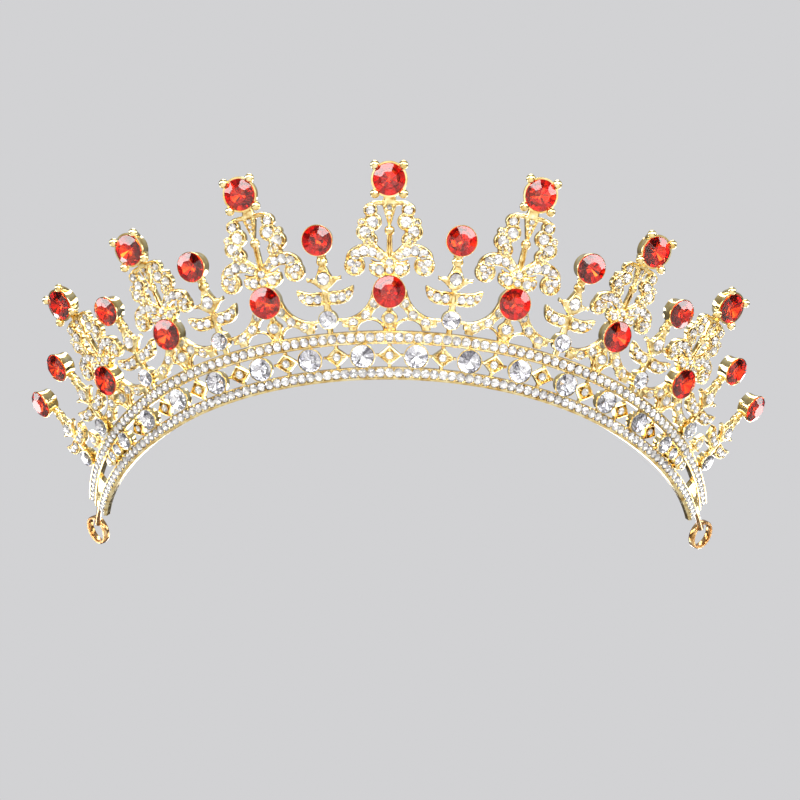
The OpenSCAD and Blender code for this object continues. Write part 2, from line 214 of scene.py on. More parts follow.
def goldPlate(name, look):
    # gold flash over polished cast zinc: bright, a little uneven from the casting and the hand polishing
    material, tree = newMaterial(name)
    place = addNode(tree, "ShaderNodeTexCoord").outputs["Object"]
    patches = addNode(tree, "ShaderNodeTexNoise",
                      {"Scale": perMetre(look["patchMm"]), "Detail": 3.0, "Roughness": 0.6},
                      {"Vector": place})
    tint = addNode(tree, "ShaderNodeValToRGB", None, {"Fac": patches.outputs["Fac"]})
    setRamp(tint, [(0.32, look["deep"]), (0.55, look["body"]), (0.75, look["pale"])])
    polish = addNode(tree, "ShaderNodeMapRange", {"To Min": look["polished"], "To Max": look["dull"]},
                     {"Value": patches.outputs["Fac"]})
    grain = addNode(tree, "ShaderNodeTexNoise",
                    {"Scale": perMetre(look["grainMm"]), "Detail": 2.0, "Roughness": 0.55},
                    {"Vector": place})
    bump = addNode(tree, "ShaderNodeBump", {"Strength": look["bump"], "Distance": look["bumpMm"] * mm},
                   {"Height": grain.outputs["Fac"]})
    shader = addNode(tree, "ShaderNodeBsdfPrincipled", {"Metallic": 1.0},
                     {"Base Color": tint.outputs["Color"], "Roughness": polish.outputs["Result"],
                      "Normal": bump.outputs["Normal"]})
    finishMaterial(tree, shader)
    return material


def cutGlass(name, look):
    # machine-cut, fire-polished lead glass: sharp facets, no haze, a high index that flashes
    material, tree = newMaterial(name)
    place = addNode(tree, "ShaderNodeTexCoord").outputs["Object"]
    wave = addNode(tree, "ShaderNodeTexNoise", {"Scale": perMetre(look["waveMm"]), "Detail": 1.0},
                   {"Vector": place})
    bump = addNode(tree, "ShaderNodeBump",
                   {"Strength": glassPolish["bump"], "Distance": glassPolish["bumpMm"] * mm},
                   {"Height": wave.outputs["Fac"]})
    shader = addNode(tree, "ShaderNodeBsdfPrincipled",
                     {"Base Color": hexColour(look["body"]), "Metallic": 0.0,
                      "Roughness": glassPolish["roughness"], "IOR": look["ior"],
                      "Transmission Weight": 1.0}, {"Normal": bump.outputs["Normal"]})
    finishMaterial(tree, shader)
    return material


def stoneFoil(name, look):
    # silvered and lacquered back of a glass stone: a coloured mirror, with random painted light and dark from
    # facet to facet in place of the flashes that a cut stone throws
    material, tree = newMaterial(name)
    facet = addNode(tree, "ShaderNodeAttribute", {"attribute_name": "facetPaintedFlash"})
    tint = addNode(tree, "ShaderNodeValToRGB", None, {"Fac": facet.outputs["Fac"]})
    setRamp(tint, [(0.0, look["deep"]), (0.45, look["body"]), (1.0, look["pale"])])
    shader = addNode(tree, "ShaderNodeBsdfPrincipled",
                     {"Metallic": look["mirror"], "Roughness": look["roughness"]},
                     {"Base Color": tint.outputs["Color"]})
    finishMaterial(tree, shader)
    return material


# The same plating on drawn rails, cast ornaments, turned collets and the worn end rings
goldLooks = {
    "rail": {"deep": "#c09848", "body": "#f8e3a6", "pale": "#fff9dc", "polished": 0.08, "dull": 0.22,
             "patchMm": 2.0, "grainMm": 0.35, "bump": 0.4, "bumpMm": 0.05},
    "cast": {"deep": "#b88a3c", "body": "#f8e3a4", "pale": "#fff9dc", "polished": 0.08, "dull": 0.24,
             "patchMm": 1.3, "grainMm": 0.3, "bump": 0.6, "bumpMm": 0.05},
    "collet": {"deep": "#dcb768", "body": "#fae6a6", "pale": "#fff9dc", "polished": 0.05, "dull": 0.15,
               "patchMm": 3.0, "grainMm": 0.5, "bump": 0.2, "bumpMm": 0.05},
    "loop": {"deep": "#9a6a34", "body": "#d2a56a", "pale": "#f0d6a8", "polished": 0.1, "dull": 0.26,
             "patchMm": 2.0, "grainMm": 0.4, "bump": 0.3, "bumpMm": 0.05},
}
railGold = goldPlate("goldPlatedRail", goldLooks["rail"])
castGold = goldPlate("goldPlatedCasting", goldLooks["cast"])
colletGold = goldPlate("goldPlatedCollet", goldLooks["collet"])
loopGold = goldPlate("goldPlatedLoop", goldLooks["loop"])

glassPolish = {"roughness": 0.0, "bump": 0.03, "bumpMm": 0.02}
glassLooks = {
    "red": {"body": "#ff9a84", "ior": 1.66, "waveMm": 2.0},
    "clear": {"body": "#fcfdff", "ior": 1.7, "waveMm": 2.0},
    "pave": {"body": "#fffefa", "ior": 1.65, "waveMm": 1.0},
}
# Foil colours: deep and pale are the dark and bright ends of the painted light on each facet, body its middle
foilLooks = {
    "red": {"deep": "#8c0c02", "body": "#f03c10", "pale": "#ff9a3a", "roughness": 0.12, "mirror": 0.94},
    "clear": {"deep": "#6c6876", "body": "#f2f2f7", "pale": "#ffffff", "roughness": 0.09, "mirror": 0.8},
    "pave": {"deep": "#aeabb6", "body": "#fafafc", "pale": "#ffffff", "roughness": 0.12, "mirror": 0.5},
}
redStone = [cutGlass("redCutGlass", glassLooks["red"]), stoneFoil("redFoilBack", foilLooks["red"])]
clearStone = [cutGlass("clearCutGlass", glassLooks["clear"]), stoneFoil("silverFoilBack", foilLooks["clear"])]
paveStone = [cutGlass("paveCutGlass", glassLooks["pave"]), stoneFoil("paveFoilBack", foilLooks["pave"])]
print("materials made")


def newShape():
    return {"verts": [], "faces": [], "mats": [], "tones": []}


def roundTurns(count):
    # even turns round a circle, in radians
    return [2 * math.pi * i / count for i in range(count)]


def addRings(shape, rings, closed=True):
    # skins a stack of rings that all have the same number of points, and closes its two ends
    first = len(shape["verts"])
    count = len(rings[0])
    for ring in rings:
        shape["verts"].extend(ring)
    faces = []
    for j in range(len(rings) - 1):
        a, b = first + j * count, first + (j + 1) * count
        for i in range(count):
            n = (i + 1) % count
            faces.append((a + i, a + n, b + n, b + i))
    if closed:
        last = first + (len(rings) - 1) * count
        faces.append(tuple(first + i for i in reversed(range(count))))
        faces.append(tuple(last + i for i in range(count)))
    shape["faces"].extend(faces)
    shape["mats"].extend([0] * len(faces))
    shape["tones"].extend([0.5] * len(faces))


def addTurned(shape, profile, centre=(0, 0, 0), segments=32):
    # profile runs from the back to the front as (radius, height); a radius near 0 closes it
    turns = roundTurns(segments)
    rings = []
    for radius, height in profile:
        r = max(radius, 0.001)
        rings.append([Vector((centre[0] + r * math.cos(a), centre[1] + r * math.sin(a), centre[2] + height))
                      for a in turns])
    addRings(shape, rings)


def addBall(shape, centre, radius, squash=1.0, segments=14):
    steps = max(5, segments // 2)
    profile = [(radius * math.sin(math.pi * i / steps), -radius * squash * math.cos(math.pi * i / steps))
               for i in range(steps + 1)]
    addTurned(shape, profile, centre, segments)


def smoothPath(points, steps=8):
    # Catmull-Rom through the points
    pts = [Vector(p) for p in points]
    pts = [2 * pts[0] - pts[1]] + pts + [2 * pts[-1] - pts[-2]]
    out = []
    for i in range(1, len(pts) - 2):
        a, b, c, d = pts[i - 1:i + 3]
        for j in range(steps):
            t = j / steps
            out.append(0.5 * ((2 * b) + (c - a) * t + (2 * a - 5 * b + 4 * c - d) * t * t
                              + (3 * b - a - 3 * c + d) * t ** 3))
    out.append(pts[-2])
    return out


def bothEdges(half):
    # a strip's section, the same from either edge: points as (edge, distance in from it, height)
    return [(0, *point) for point in half] + [(1, *point) for point in half[::-1]]


# Half sections, from the back corner to the face, in mm
sections = {
    "set": [(0.12, -0.8), (0, -0.6), (0, 0.5), (0.1, 0.78), (0.24, 0.84), (0.36, 0.78), (0.42, 0.5)],
    "plain": [(0.3, -0.7), (0.05, -0.45), (0, 0.2), (0.14, 0.6), (0.36, 0.8)],
    "tie": [(0.1, -0.75), (0, -0.6), (0, 0.0), (0.14, 0.16)],
    "grooved": [(0.15, -0.7), (0, -0.5), (0, 0.5), (0.12, 0.7), (0.34, 0.7), (0.46, -0.1)],
}
setSection = bothEdges(sections["set"])  # raised bright-cut rims with a sunk floor for stones
plainSection = bothEdges(sections["plain"])
tieSection = bothEdges(sections["tie"])  # low bar between the rails
groovedSection = bothEdges(sections["grooved"])


def addStrip(shape, edgeA, edgeB, section=setSection):
    # a strip between two edges, each a list of (across, up)
    rings = []
    for a, b in zip(edgeA, edgeB):
        a, b = Vector((a[0], a[1], 0)), Vector((b[0], b[1], 0))
        across = b - a
        width = max(across.length, 0.02)
        across = across / width
        ring = []
        for edge, inset, height in section:
            shift = min(inset, width * 0.46)
            p = a + across * shift if edge == 0 else b - across * shift
            ring.append(Vector((p.x, p.y, height)))
        rings.append(ring)
    addRings(shape, rings)


def addTapered(shape, points, section):
    # a strip as wide on both sides of the middle as the points say
    addStrip(shape, [(-x, y) for x, y in points], points, section)


def addStroke(shape, points, widths, section=setSection):
    # a strip of varying width along a smooth line; a width for each point
    line = smoothPath([(p[0], p[1], 0) for p in points])
    sizes = smoothPath([(w, 0, 0) for w in widths])
    edgeA, edgeB = [], []
    for i, p in enumerate(line):
        ahead = line[min(i + 1, len(line) - 1)] - line[max(i - 1, 0)]
        side = Vector((ahead.y, -ahead.x, 0)).normalized()
        half = sizes[i].x / 2
        edgeA.append(p - side * half)
        edgeB.append(p + side * half)
    addStrip(shape, edgeA, edgeB, section)


def addSeat(shape, centre, radius):
    # round stone seat: a bezel with a raised rim around a sunk floor
    r = radius
    addTurned(shape, [(0, -0.8), (r - 0.12, -0.8), (r, -0.62), (r, 0.5), (r - 0.09, 0.78), (r - 0.2, 0.86),
                      (r - 0.32, 0.8), (r - 0.4, 0.5), (0, 0.5)], (centre[0], centre[1], 0), 28)


def addBead(shape, x, y, z, radius=0.24, squash=0.9):
    # small raised grain of metal
    addBall(shape, (x, y, z), radius, squash, 8)


def addGrains(shape, centre, radius, count=4, turn=0.8, size=0.22):
    # raised grains that hold a small stone
    reach = radius + size * 0.55
    for i in range(count):
        angle = turn + 2 * math.pi * i / count
        addBead(shape, centre[0] + reach * math.cos(angle), centre[1] + reach * math.sin(angle), 0.8, size)


def addMirrored(target, source):
    # adds the left-to-right image of the source, which may be the target itself
    first = len(target["verts"])
    target["verts"].extend([Vector((-v.x, v.y, v.z)) for v in source["verts"]])
    target["faces"].extend([tuple(first + i for i in reversed(f)) for f in source["faces"]])
    target["mats"].extend(list(source["mats"]))
    target["tones"].extend(list(source["tones"]))


def addCopy(target, source, matrix):
    first = len(target["verts"])
    target["verts"].extend([matrix @ v for v in source["verts"]])
    target["faces"].extend([tuple(first + i for i in f) for f in source["faces"]])
    target["mats"].extend(source["mats"])
    target["tones"].extend(source["tones"])


def asMesh(shape, name, scale=1.0):
    mesh = bpy.data.meshes.new(name)
    mesh.from_pydata([v * scale for v in shape["verts"]], [], shape["faces"])
    mesh.polygons.foreach_set("material_index", shape["mats"])
    tone = mesh.attributes.new("facetPaintedFlash", "FLOAT", "FACE")
    tone.data.foreach_set("value", shape["tones"])
    mesh.validate()
    mesh.update()
    return mesh


def fused(shape, voxel):
    # melts overlapping solids into one cast skin, as wax joins before casting
    holder = bpy.data.objects.new("fuse", asMesh(shape, "fuse"))
    bpy.context.scene.collection.objects.link(holder)
    remesh = holder.modifiers.new("melt", "REMESH")
    remesh.mode = "VOXEL"
    remesh.voxel_size = voxel
    remesh.adaptivity = 0.0
    soften = holder.modifiers.new("soften", "SMOOTH")
    soften.factor = 0.5
    soften.iterations = 1
    mesh = bpy.data.meshes.new_from_object(holder.evaluated_get(bpy.context.evaluated_depsgraph_get()))
    out = newShape()
    out["verts"] = [v.co.copy() for v in mesh.vertices]
    out["faces"] = [tuple(p.vertices) for p in mesh.polygons]
    out["mats"] = [0] * len(out["faces"])
    out["tones"] = [0.5] * len(out["faces"])
    bpy.data.objects.remove(holder)
    return out


def nodeOf(name):
    # a piece and its node of the frame share a name: galleryCups is gallery_cups there
    return "".join("_" + c.lower() if c.isupper() or c.isdigit() else c for c in name)


def addPiece(name, shape, materials, smooth=True, sharpAngle=None):
    # one finished piece in metres, on the tiara's only body, in place of its node
    mesh = asMesh(shape, name, mm)
    for material in materials:
        mesh.materials.append(material)
    piece = bpy.data.objects.new(name, mesh)
    bpy.context.scene.collection.objects.link(piece)
    mesh.polygons.foreach_set("use_smooth", [smooth] * len(mesh.polygons))
    if smooth and sharpAngle:
        mesh.set_sharp_from_angle(angle=math.radians(sharpAngle))
    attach(piece, "root")
    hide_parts(nodeOf(name))


rng = random.Random(7)
# Table, crown height and girdle as shares of the radius
stoneCuts = {
    "round": {"sides": 8, "table": 0.53, "crown": 0.31, "girdle": 0.07},
    "pave": {"sides": 6, "table": 0.50, "crown": 0.36, "girdle": 0.06},
}


def addStone(shape, radius, base, depth, cut, turn):
    # faceted stone on the local Z axis: its back point at base, its girdle at depth; the girdle is
    # scalloped, so that every crown facet is flat
    sides = cut["sides"]
    half = math.pi / sides
    first = len(shape["verts"])
    girdleTop = depth + radius * cut["girdle"]
    top = girdleTop + radius * cut["crown"]
    tableEdge = radius * cut["table"] * math.cos(half)
    slope = (top - girdleTop) / (radius - tableEdge)
    cornerLift = radius * (1 - math.cos(half)) * slope
    verts, faces = [], []
    for i in range(sides):
        angle = turn + (2 * i + 1) * half
        reach = radius * cut["table"]
        verts.append(Vector((reach * math.cos(angle), reach * math.sin(angle), top)))
    for level in (girdleTop, depth):
        for i in range(2 * sides):
            angle = turn + i * half
            lift = cornerLift if i % 2 and level == girdleTop else 0
            verts.append(Vector((radius * math.cos(angle), radius * math.sin(angle), level + lift)))
    verts.append(Vector((0, 0, base)))
    upper, lower, tip = sides, 3 * sides, 5 * sides
    faces.append(tuple(range(sides)))
    for i in range(sides):
        before = (i - 1) % sides
        around = (2 * i - 1) % (2 * sides)
        faces.append((before, upper + around, upper + 2 * i, upper + 2 * i + 1, i))
    glassCount = len(faces)
    for i in range(2 * sides):
        n = (i + 1) % (2 * sides)
        faces.append((upper + i, lower + i, lower + n, upper + n))
    for i in range(2 * sides):
        n = (i + 1) % (2 * sides)
        faces.append((lower + i, tip, lower + n))
    foilCount = len(faces) - glassCount
    shape["verts"].extend(verts)
    shape["faces"].extend([tuple(first + i for i in f) for f in faces])
    shape["mats"].extend([0] * glassCount + [1] * foilCount)
    # each foil facet gets a random painted shade, from dark to bright, in place of reflected flashes; glass
    # faces stay at 0.5
    shape["tones"].extend([0.5] * glassCount + [rng.uniform(0.1, 0.9) for i in range(foilCount)])


def stoneAt(target, matrix, radius, base, depth, cut):
    # big stones are set with a crown facet up the slope, give or take; small ones as they fall
    single = newShape()
    turn = math.pi / 2 + rng.uniform(-0.12, 0.12) if cut == "round" else rng.uniform(0, math.pi)
    addStone(single, radius, base, depth, stoneCuts[cut], turn)
    addCopy(target, single, matrix)


def paveAt(target, matrix, x, y, radius, girdle=ornament["paveGirdle"]):
    stoneAt(target, matrix @ Matrix.Translation((x, y, 0)), radius, ornament["paveBack"], girdle, "pave")


def addStonePiece(name, shape, stone):
    addPiece(name, shape, stone, smooth=False)


# Both rails: a channel with one row of stones and a row of grains on each side of it
rail = {
    "steps": 260,
    "grooveDepth": 0.5,
    "grooveWidth": 2.1,
    "stoneRadius": 1.06,
    "stoneCount": 53,
    "beadRadius": 0.27,
    "lowerRim": 0.25,
    "upperRim": 0.4,
    "endMargin": 0.95,
}


def railSection(flatFoot, frontRim):
    # section across a rail as (up, out); the lower rail's outer edge is cut level, to stand on
    half, width = band["railThick"] / 2, band["railWidth"]
    floor = half - rail["grooveDepth"]
    low = width - frontRim - rail["grooveWidth"]
    if flatFoot:
        start = [(0.12, -half), (0, -half + 0.12), (0, footLift / flareSin),
                 (band["seatWidth"] * flareSin, half - 0.02)]
    else:
        start = [(0.14, -half), (0, -half + 0.14), (0, half - 0.16), (0.12, half)]
    return start + [(low - 0.05, half), (low + 0.04, floor), (low + rail["grooveWidth"] - 0.04, floor),
                    (width - frontRim + 0.05, half), (width - 0.08, half), (width, half - 0.1),
                    (width, -half + 0.14), (width - 0.14, -half)]


def makeRail(name, lift, flatFoot, rim):
    section = railSection(flatFoot, rim)
    rowUp = band["railWidth"] - rim - rail["grooveWidth"] / 2
    shape = newShape()
    rings = []
    for i in range(-rail["steps"] // 2, rail["steps"] // 2 + 1):
        along = i * band["halfLength"] * 2 / rail["steps"]
        rings.append([spot(along, lift(along) + up, out) for up, out in section])
    addRings(shape, rings)
    floor = band["railThick"] / 2 - rail["grooveDepth"]
    step = (band["halfLength"] - 2 * rail["endMargin"]) / rail["stoneCount"]
    for i in range(-rail["stoneCount"], rail["stoneCount"]):
        along = (i + 0.5) * step
        for side in (-1, 1):
            m = onBand(along, lift(along) + rowUp + side * (rail["grooveWidth"] / 2 - 0.16))
            bead = newShape()
            addBead(bead, 0, 0, floor + 0.42, rail["beadRadius"])
            addCopy(shape, bead, m)
    addPiece(name, shape, [railGold], sharpAngle=34)
    stones = newShape()
    for i in range(-rail["stoneCount"], rail["stoneCount"] + 1):
        along = i * step
        stoneAt(stones, onBand(along, lift(along) + rowUp), rail["stoneRadius"], floor + 0.02, floor + 0.38,
                "pave")
    addStonePiece(name + "Stones", stones, paveStone)


makeRail("lowerRail", lambda along: 0.0, True, rail["lowerRim"])
makeRail("upperRail", lambda along: bandTop(along) - band["railWidth"], False, rail["upperRim"])
print("rails made")

# Round crystals and lozenges by turns between the rails, with three smaller crystals at each end
gallery = {
    "step": 5.85,
    "perSide": 7,
    "stoneShare": 0.485,
    "stemShare": 0.44,
    "depth": 1.7,
    "endCrystals": [(80.6, 1.4), (83.9, 1.15), (86.6, 0.9)],
    "lozengeReach": 2.5,
    "lozengeSeat": 0.46,
    "lozengeStone": 0.9,
}


def addCollet(shape, radius, depth, stem, lip=ornament["lip"]):
    # turned cup: a stem behind, a wall with a burnished lip in front
    step = depth - min(0.35, depth - 1.1)
    addTurned(shape, [(0, -0.8), (stem - 0.15, -0.8), (stem, -0.65), (stem, 0.75),
                      (radius + 0.12, step - 0.12), (radius + 0.12, step), (radius + lip - 0.04, step + 0.06),
                      (radius + lip, depth - 0.1), (radius + lip - 0.04, depth + 0.04),
                      (radius + 0.14, depth + 0.06), (radius + 0.08, depth - 0.02),
                      (radius * 0.97, depth - 0.14), (0.1, -0.6), (0, -0.6)], segments=40)


def addTie(shape, reach, half):
    # upright tie bar of this half width, as far up as down
    addStrip(shape, [(-half, -reach), (-half, reach)], [(half, -reach), (half, reach)], tieSection)


def makeGallery():
    cups, crystals, ends = newShape(), newShape(), newShape()
    places = [(side * (2 * k + 1) * gallery["step"], None, crystals)
              for side in (-1, 1) for k in range(gallery["perSide"])]
    places += [(side * along, radius, ends) for side in (-1, 1) for along, radius in gallery["endCrystals"]]
    for along, fixed, stones in places:
        gap = galleryGap(along)
        radius = fixed or gallery["stoneShare"] * gap
        m = onBand(along, galleryMiddle(along))
        cup = newShape()
        addCollet(cup, radius, gallery["depth"], gap * gallery["stemShare"])
        addTie(cup, gap / 2 + 0.05, 0.4)
        addCopy(cups, cup, m)
        stoneAt(stones, m, radius + 0.1, ornament["crystalBack"], gallery["depth"] - ornament["stoneSunk"],
                "round")
    addPiece("galleryCups", cups, [colletGold], sharpAngle=40)
    addStonePiece("galleryCrystals", crystals, clearStone)
    addStonePiece("endCrystals", ends, clearStone)


def lozengeShape(size, gap):
    # hollowed diamond with a raised edge, a round seat in the middle and four tabs
    shape = newShape()
    levels = [(0.96, -0.8), (1.0, -0.7), (1.0, 0.62), (0.97, 0.82), (0.91, 0.9), (0.85, 0.84),
              (0.80, -0.3), (0.02, -0.3)]
    corners = [(1.12, 0), (0, 0.94), (-1.12, 0), (0, -0.94)]
    addRings(shape, [[Vector((x * size * share, y * size * share, z)) for x, y in corners]
                     for share, z in levels])
    seat = gallery["lozengeSeat"] * size
    addTurned(shape, [(0, -0.5), (seat, -0.5), (seat, 0.55), (seat - 0.08, 0.72), (seat - 0.2, 0.72),
                      (seat - 0.28, 0.4), (0, 0.4)], segments=22)
    reach = size * 1.3
    addStrip(shape, [(-reach, -0.32), (reach, -0.32)], [(-reach, 0.32), (reach, 0.32)], tieSection)
    addTie(shape, gap / 2, 0.45)
    return shape


def makeLozenges():
    frames, crystals = newShape(), newShape()
    last = gallery["perSide"] - 1
    for k in range(-last, last + 1):
        along = 2 * k * gallery["step"]
        share = galleryGap(along) / galleryGap(0)
        m = onBand(along, galleryMiddle(along))
        addCopy(frames, lozengeShape(gallery["lozengeReach"] * share, galleryGap(along)), m)
        stoneAt(crystals, m, gallery["lozengeStone"] * share, 0.42, 0.6, "pave")
    addPiece("lozengeFrames", frames, [railGold], sharpAngle=30)
    addStonePiece("lozengeCrystals", crystals, paveStone)


makeGallery()
makeLozenges()
print("gallery made")

# Web that closes the gallery at each end, and the ring on its neck; loopTurn is in degrees to the front
ends = {
    "webStart": 97,
    "webHalf": 0.7,
    "webCrown": 0.35,
    "webSteps": 12,
    "loopAt": 125,
    "loopUp": 4.9,
    "loopTurn": 20,
    "bore": 3.2,
    "wall": 0.8,
    "length": 1.8,
    "neckFrom": 3.5,
    "neckRise": 1.1,
    "neckSteps": 14,
}


def makeWeb(side, word):
    web = newShape()
    rings = []
    for i in range(ends["webSteps"] + 1):
        share = i / ends["webSteps"]
        along = side * (ends["webStart"] + (band["halfLength"] - ends["webStart"]) * share)
        low, high = band["railWidth"] - 0.05, bandTop(along) - band["railWidth"] + 0.05
        half = ends["webHalf"]
        face = half + ends["webCrown"] * math.sin(math.pi * share)
        ring = [(low, half), (low, -half), (high, -half), (high, half), ((low + high) / 2, face)]
        if side < 0:
            ring.reverse()
        rings.append([spot(along, up, out) for up, out in ring])
    addRings(web, rings)
    addPiece("endWeb" + word, web, [railGold], sharpAngle=30)


def makeLoop(side, word):
    loop = newShape()
    inner, outer, half = ends["bore"], ends["bore"] + ends["wall"], ends["length"] / 2
    profile = [(inner, -half + 0.1), (inner + 0.08, -half), (outer - 0.22, -half),
               (outer - 0.04, -half + 0.2), (outer, 0), (outer - 0.04, half - 0.2), (outer - 0.22, half),
               (inner + 0.08, half), (inner, half - 0.1)]
    rings = [[Vector((r * math.cos(a), r * math.sin(a), z)) for r, z in profile] for a in roundTurns(64)]
    ring = newShape()
    addRings(ring, rings + [rings[0]], closed=False)
    turned = Matrix.Rotation(math.radians(-side * ends["loopTurn"]), 4, "Y")
    addCopy(loop, ring, onBand(side * ends["loopAt"], ends["loopUp"]) @ turned)
    # the neck leaves the web and bends into the ring
    neckRings = []
    for i in range(ends["neckSteps"] + 1):
        t = i / ends["neckSteps"]
        along = side * (band["halfLength"] - 0.4 + (ends["loopAt"] - inner - 0.3 - band["halfLength"]) * t)
        up = ends["neckFrom"] + ends["neckRise"] * t * t
        wide, thick = 1.0 - 0.35 * math.sin(math.pi * t), 0.55 + 0.25 * t
        oval = [(wide * math.cos(a), thick * math.sin(a)) for a in roundTurns(12)]
        if side < 0:
            oval.reverse()
        neckRings.append([spot(along, up + u, o) for u, o in oval])
    addRings(loop, neckRings)
    addPiece("endLoop" + word, loop, [loopGold], sharpAngle=40)


for side, word in ((-1, "Left"), (1, "Right")):
    makeWeb(side, word)
    makeLoop(side, word)
print("ends made")

# Arch under each crest, in mm from its middle on the upper rail; turns run down the rib, in degrees
arch = {
    "ribRadius": 8.6,
    "ribWidth": 2.3,
    "ribCentre": 10.2,
    "ribTurns": (6, 86),
    "ribSteps": 26,
    "tipTurn": 78,
    "stoneTurns": [25, 47, 69],
    "stoneRadius": 1.05,
    "stoneOut": 0.25,
    "opening": (4.46, 2.95, 2.35),  # middle, half width and height of the low round opening
    "openingSteps": 18,
    "footReach": 8.5,
    "drop": [(0.75, 4.7), (1.5, 3.9), (1.95, 3.0), (1.3, 1.7), (0.75, 0.7), (0.9, 0.0)],
    "dropStone": {"up": 3.0, "radius": 1.15, "seat": 1.45},
    "kite": [(0.2, 5.3), (0.9, 4.2), (1.6, 2.7), (0.9, 1.2), (0.6, 0)],
    "kiteStone": {"up": 2.7, "radius": 1.0, "seat": 1.3},
    "voxel": 0.13,
}


def archReach(k, side):
    # how far the rib's foot is from the arch's middle, beside the cup of the next spray
    if side > 0:
        gap = ornament["sprayAt"][k] - crestAt(k)
    else:
        gap = crestAt(k) - (ornament["sprayAt"][k - 1] if k else -ornament["sprayAt"][0])
    spread = (band["frontRadius"] + flareSin * ornament["footHeight"]) / band["frontRadius"]
    return gap * spread - footCupRadius - 0.4


def ribPoint(reach, turn, out):
    # a place on the rib, this far out from its middle line
    r = arch["ribRadius"] + out
    return (reach - r * math.cos(math.radians(turn)), arch["ribCentre"] - r * math.sin(math.radians(turn)))


def archHalf(reach):
    # right half: rib with its seats, and the low round opening beside the drop
    shape = newShape()
    half = arch["ribWidth"] / 2
    start, stop = arch["ribTurns"]
    edgeA, edgeB = [], []
    for i in range(arch["ribSteps"] + 1):
        turn = start + (stop - start) * i / arch["ribSteps"]
        taper = 1 - 0.2 * max(0, (turn - 66) / 20) ** 2
        edgeA.append(ribPoint(reach, turn, -half))
        edgeB.append(ribPoint(reach, turn, half * (2 * taper - 1)))
    addStrip(shape, edgeA, edgeB)
    for turn in arch["stoneTurns"]:
        addSeat(shape, ribPoint(reach, turn, arch["stoneOut"]), arch["stoneRadius"] + 0.3)
        for way in (-11, 11):
            q = ribPoint(reach, turn + way, 0.1)
            addBead(shape, q[0], q[1], 0.72, 0.3, 0.8)
    # the rib's tip runs on to the cup beside it
    addStrip(shape, [ribPoint(reach, arch["tipTurn"], -half), (reach - 0.2, 2.85), (reach + 0.5, 2.75)],
             [ribPoint(reach, arch["tipTurn"], 1.0 - half), (reach - 0.2, 2.0), (reach + 0.5, 2.1)],
             plainSection)
    centre, half, rise = arch["opening"]
    ringA, ringB = [], []
    for i in range(arch["openingSteps"] + 1):
        angle = math.pi * i / arch["openingSteps"]
        ringA.append((centre - half * math.cos(angle), rise * math.sin(angle)))
        ringB.append((centre - (half + 0.6) * math.cos(angle), (rise + 0.75) * math.sin(angle)))
    addStrip(shape, ringA, ringB, plainSection)
    foot = arch["footReach"]
    addStrip(shape, [(foot - 1.0, 0.0), (foot - 1.2, 0.8), (foot - 1.5, 1.5)],
             [(foot + 1.0, 0.0), (foot + 1.0, 0.8), (foot + 1.5, 1.5)], plainSection)
    return shape


def addDrop(shape, outline, stone, tip=()):
    # a drop or kite with curved sides and the seat of its stone; a tip runs on from its top
    curve = smoothPath([(x, y, 0) for x, y in outline], 6)
    addTapered(shape, list(tip) + [(p.x, p.y) for p in curve], setSection)
    addSeat(shape, (0, stone["up"]), stone["seat"])


def archShape(reachLeft, reachRight, stoneY):
    # the drop reaches up to the cup of the arch's red stone
    shape = archHalf(reachRight)
    addMirrored(shape, archHalf(reachLeft))
    addDrop(shape, arch["drop"], arch["dropStone"], [(0.3, stoneY - 3.1)])
    return shape


def endArchShape():
    shape = newShape()
    addDrop(shape, arch["kite"], arch["kiteStone"])
    addStrip(shape, [(-2.3, 1.2), (2.3, 1.2)], [(-2.3, 1.9), (2.3, 1.9)], plainSection)
    return shape


def addCasting(name, shape, matrix):
    whole = newShape()
    addCopy(whole, shape, matrix)
    addPiece(name, whole, [castGold])


def crestPlaces():
    # the seven crests from left to right: number from the middle, place's name, place along the foot
    for k in range(-3, 4):
        word = "Centre" if k == 0 else ("Left" if k < 0 else "Right") + str(abs(k))
        yield abs(k), word, math.copysign(crestAt(abs(k)), k)


def makeArches():
    stones = newShape()
    for k, word, along in crestPlaces():
        top = bandTop(along)
        far = archReach(k, 1)
        near = archReach(k, -1) if k else far
        reaches = (near, far) if along >= 0 else (far, near)
        m = onBand(along, top)
        addCasting("arch" + word, fused(archShape(*reaches, archUp(along) - top), arch["voxel"]), m)
        paveAt(stones, m, 0, arch["dropStone"]["up"], arch["dropStone"]["radius"], ornament["middleGirdle"])
        for way, reach in zip((-1, 1), reaches):
            for turn in arch["stoneTurns"]:
                x, y = ribPoint(reach, turn, arch["stoneOut"])
                paveAt(stones, m, way * x, y, arch["stoneRadius"])
    endArch = fused(endArchShape(), arch["voxel"])
    for side, word in ((-1, "Left"), (1, "Right")):
        m = onBand(side * ornament["endArchAt"], bandTop(ornament["endArchAt"]))
        addCasting("endArch" + word, endArch, m)
        paveAt(stones, m, 0, arch["kiteStone"]["up"], arch["kiteStone"]["radius"])
    addStonePiece("archPave", stones, paveStone)


makeArches()
print("arches made")

